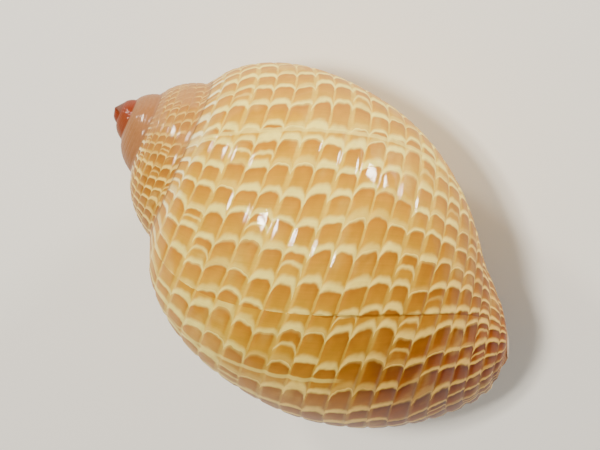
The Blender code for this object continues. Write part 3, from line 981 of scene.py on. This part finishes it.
def outside_finish():
    """The patterned outside: a glossy coat over tan cells, white crescents and pale grooves."""
    values = {"Roughness": 0.5, "Specular IOR Level": 0.08, "Coat Roughness": 0.03, **COAT}
    material, w, shader = finished("patterned_shell", values)
    turn, station = w.growth()
    age = age_of(w, turn, station)
    pale, along, furrow = crescents(w, age, station)

    gold = cell_colour(w, GOLD, along, pale, furrow)
    brown = cell_colour(w, BROWN_AND_SHADE, along, pale, furrow)
    # Towards the front end and the lip the cells go over to the brown palette: partly their own colour, partly
    # painted shade
    cloud = w.noise(age, station, CLOUD_NOISE)
    to_front = w.times(w.minus(station, FRONT_BROWN_AND_SHADE[0]), FRONT_BROWN_AND_SHADE[1])
    to_lip = w.times(w.minus(age, LIP_BROWN_AND_SHADE[0]), LIP_BROWN_AND_SHADE[1])
    brown_and_shade_share = w.add(to_front, to_lip, w.times(cloud, CLOUD))
    old = w.times(w.step(turn, *LAST_WHORL), OLD_BROWN)
    colour = w.mix(w.math("MAXIMUM", w.step(brown_and_shade_share, *ALL_BROWN_AND_SHADE), old), gold, brown)
    shoulder = w.times(pale, w.step(station, *SHOULDER))
    colour = w.mix(w.times(shoulder, LAID_OVER), colour, SHOULDER_WHITE)
    mottle = w.noise(age, station, MOTTLE_NOISE, 3.0)
    colour = aged_tone(w, turn, station, colour)
    colour = w.mix(w.times(w.step(station, *FASCIOLE_FROM), LAID_OVER), colour, FASCIOLE)

    # The glaze beside the mouth, measured from where the lip would be one turn earlier
    bent = w.times(w.times(station, w.minus(1.0, station)), LEAN_BEND)
    lip_line = w.minus(LIP / TURN - 1.0, w.times(w.add(station, bent), LEAN / TURN))
    glaze = w.step(w.minus(turn, lip_line), *GLAZE_REACH)
    glaze = w.times(glaze, w.step(station, COVERED_FROM, COVERED_FROM + GLAZE_FADE))
    colour = w.mix(w.times(glaze, LAID_OVER), colour, GLAZE)

    # Rest lines, the last growth at the lip, which is pale, and painted shade in the suture's crease, a thin
    # dark line along it
    raised = w.add(*[rest_line(w, age, station, line, LINE_HALF_WIDTH) for line in RAISED_LINES])
    crack = rest_line(w, age, station, CRACK, CRACK_HALF_WIDTH)
    colour = w.mix(w.times(raised, LINE_SHARE), colour, GOLD["crescent"])
    colour = w.mix(w.times(crack, CRACK_SHARE), colour, BROWN_AND_SHADE["dark"])
    colour = w.mix(w.step(age, *LIP_EDGE), colour, LIP_CREAM)
    # Painted shade along the suture, darkest in its crease
    colour = w.mix(w.times(w.step(station, *SUTURE_SHADE_EDGE), SUTURE_SHADE_SHARE), colour, SUTURE_SHADE)

    striae = w.noise(age, station, STRIAE_NOISE, 2.0)
    shade = w.add(1.0, w.times(striae, STRIAE_SHADE), w.times(mottle, MOTTLE_SHADE))
    tint = w.node("ShaderNodeVectorMath", operation="SCALE")
    w.feed(tint.inputs[0], colour)
    w.feed(tint.inputs["Scale"], shade)
    w.feed(shader.inputs["Base Color"], tint.outputs[0])

    bump = w.node("ShaderNodeBump")
    bump.inputs["Strength"].default_value = BUMP
    bump.inputs["Distance"].default_value = BUMP_DISTANCE
    height = w.minus(w.add(striae, w.times(raised, LINE_RISE)), w.times(crack, CRACK_DEPTH))
    w.feed(bump.inputs["Height"], height)
    w.feed(shader.inputs["Normal"], bump.outputs[0])
    w.feed(shader.inputs["Coat Normal"], bump.outputs[0])
    return material


shell_mesh.materials.append(outside_finish())
print("nodes in the outside's material", len(shell_mesh.materials[OUTSIDE].node_tree.nodes))

# %% [markdown]
# ## The inside
# Inside, the wall is smooth like porcelain, pale at the lip and warmer further in, as light that comes
# through the thin wall is tinted by the outside. The rim and the pillar are cream.

# %% Cavity wall, rim and pillar
WALL_CREAM, WALL_TAN, WALL_GROOVE = srgb(240, 222, 190), srgb(214, 158, 106), srgb(244, 226, 194)
WALL_FADE = (-0.01, -0.3)  # the ages between which tan turns to cream
CREAM_DARK, CREAM_LIGHT = srgb(238, 218, 180), srgb(247, 236, 212)
CREAM_NOISE, CREAM_LINES = (60.0, 30.0, 2.0), (-0.3, 0.3)
DOME_TAN, DOME_NOISE = srgb(168, 112, 56), (9.0, 1.0, 6.0)
DOME_EDGE, DOME_MIDDLE = (1.0, 1.02), (1.9, 1.1)  # the dome's stations where the tan comes and goes
DOME_SHARE, WALL_GROOVE_SHARE = 0.85, 0.3


def inside_finish():
    """The cavity's wall: cream at the lip, tan further in, with the grooves showing as paler lines."""
    material, w, shader = finished("shell_inside", {"Roughness": 0.3, "Coat Roughness": 0.1, **COAT})
    turn, station = w.growth()
    age = age_of(w, turn, station)
    _, _, furrow = crescents(w, age, station)
    colour = w.mix(w.step(age, *WALL_FADE), WALL_CREAM, WALL_TAN)
    colour = w.mix(w.times(furrow, WALL_GROOVE_SHARE), colour, WALL_GROOVE)
    w.feed(shader.inputs["Base Color"], colour)
    return material


def cream_finish():
    """The rim and the pillar: cream with faint growth lines, and the pillar's domed end, tan at its edge."""
    material, w, shader = finished("shell_cream", {"Roughness": 0.28, "Coat Roughness": 0.08, **COAT})
    turn, station = w.growth()
    colour = w.mix(w.step(w.noise(turn, station, CREAM_NOISE), *CREAM_LINES), CREAM_DARK, CREAM_LIGHT)
    cloud = w.times(w.noise(station, turn, DOME_NOISE), CLOUD)
    edge = w.times(w.step(station, *DOME_EDGE), w.step(w.add(station, cloud), *DOME_MIDDLE))
    colour = w.mix(w.times(edge, DOME_SHARE), colour, DOME_TAN)
    w.feed(shader.inputs["Base Color"], colour)
    return material


for finish in (inside_finish, cream_finish):
    shell_mesh.materials.append(finish())
print("materials", [material.name for material in shell_mesh.materials])

# %% [markdown]
# ## The camera
# The photograph looks down on the shell's back, with the spire up on the left. Its camera was found in the
# growth frame, as the axis's direction in the picture, the turn about it, the distance and the lens. From
# these we work out the camera's own axes and carry them to the table with the shell.

# %% Camera
AXIS_IN_PICTURE = math.radians(30.47)  # the axis runs down to the right at this angle
AXIS_AWAY = math.radians(2.97)  # and a little away from the camera
TURN_TO_CAMERA = math.radians(87.9)  # which side of the shell faces the camera
PIXELS_PER_RADIAN = 2484.6
PICTURE = (600, 450)
APEX_PIXEL = (110.695, 105.05)
CAMERA_DISTANCE = 0.7287  # from the apex
SENSOR = 36.0


def picture_axes():
    """Rows give the picture's right, down and away directions in the growth frame."""
    axis = np.array([math.cos(AXIS_AWAY) * math.cos(AXIS_IN_PICTURE),
                     math.cos(AXIS_AWAY) * math.sin(AXIS_IN_PICTURE), math.sin(AXIS_AWAY)])
    towards = np.array([0.0, 0.0, -1.0]) + axis[2] * axis
    towards /= np.linalg.norm(towards)
    beside = np.cross(axis, towards)
    growth_x = math.cos(TURN_TO_CAMERA) * towards + math.sin(TURN_TO_CAMERA) * beside
    return np.stack([growth_x, np.cross(axis, growth_x), axis], axis=1)


def put(thing, axes, place):
    """Links an object at a place, turned so that its own x, y and z lie along three axes."""
    turn = Matrix(np.stack(axes, axis=1).tolist()).to_4x4()
    turn.translation = place
    thing.matrix_world = turn
    bpy.context.scene.collection.objects.link(thing)


def add_camera():
    """The camera, placed so that the apex, which lies at the rest shift, lands on its pixel."""
    right, down, away = picture_axes() @ rest_turn().T
    apex = (np.array(APEX_PIXEL) - np.array(PICTURE) / 2) / PIXELS_PER_RADIAN
    place = REST_SHIFT - CAMERA_DISTANCE * (apex[0] * right + apex[1] * down + away)
    data = bpy.data.cameras.new("camera")
    data.sensor_width = SENSOR
    data.lens = SENSOR * PIXELS_PER_RADIAN / PICTURE[0]
    camera = bpy.data.objects.new("camera", data)
    put(camera, (right, -down, -away), place)
    bpy.context.scene.camera = camera
    return camera


camera = add_camera()
place = [round(value, 3) for value in camera.matrix_world.translation]
print("camera at", place, "lens", round(camera.data.lens, 1))

# %% [markdown]
# ## The stage
# A plain pale floor and soft light show a part best. The shell in the photograph mirrors windows, so two of
# the lights are panes with bars between them. A small one at the side gives the spire its glint, and a wide
# weak one fills the shadow.

# %% Floor and lights
FLOOR_HALF = 3.0
FLOOR_FINISH = {"Base Color": srgb(240, 239, 236), "Roughness": 0.7}
WARM_LIGHT = (1.0, 0.93, 0.8)
MIDDLE = (0.0, 0.0, 0.04)  # what the lights face
WORLD = {"Color": (1.0, 0.96, 0.9, 1.0), "Strength": 0.27}


def add_floor():
    """A square, matt floor at z = 0."""
    mesh = bpy.data.meshes.new("floor")
    h = FLOOR_HALF
    mesh.from_pydata([(-h, -h, 0.0), (h, -h, 0.0), (h, h, 0.0), (-h, h, 0.0)], [], [(0, 1, 2, 3)])
    mesh.materials.append(finished("floor", FLOOR_FINISH)[0])
    floor = bpy.data.objects.new("floor", mesh)
    bpy.context.scene.collection.objects.link(floor)


def facing(place, aim):
    """Axes of a light at a place that faces a point: its side, its up and its back."""
    back = np.array(place) - np.array(aim)
    back = back / np.linalg.norm(back)
    side = np.cross((0.0, 0.0, 1.0), back)
    side /= np.linalg.norm(side)
    return side, np.cross(back, side), back


def add_light(name, place, aim, width, height, power):
    """A rectangular, warm area light at a place, facing a point."""
    data = bpy.data.lights.new(name, "AREA")
    data.shape = "RECTANGLE"
    data.size, data.size_y = width, height
    data.energy = power
    data.color = WARM_LIGHT
    light = bpy.data.objects.new(name, data)
    put(light, facing(place, aim), place)


def add_window(name, place, width, height, bar, across, down, power):
    """A window as across by down panes with bars between them. The panes share the power."""
    side, up, back = facing(place, MIDDLE)
    for i in range(across):
        for j in range(down):
            pane = place + (i - 0.5 * (across - 1)) * (width + bar) * side
            pane = pane + (j - 0.5 * (down - 1)) * (height + bar) * up
            add_light(name, pane, pane - back, width, height, power / (across * down))


add_floor()
add_window("overhead", (-0.22, 0.08, 1.0), 0.064, 0.073, 0.02, 2, 2, 11.5)
add_window("window", (0.2, 0.93, 0.2), 0.075, 0.13, 0.012, 2, 1, 9.0)
add_light("side window", (-0.88, 0.3, 0.415), MIDDLE, 0.12, 0.12, 6.0)
add_light("fill", (-0.6, -0.8, 0.6), MIDDLE, 1.0, 1.0, 1.3)
world = bpy.data.worlds.new("studio")
world.use_nodes = True
for socket, value in WORLD.items():
    world.node_tree.nodes["Background"].inputs[socket].default_value = value
bpy.context.scene.world = world
print("lights", len(bpy.data.lights))
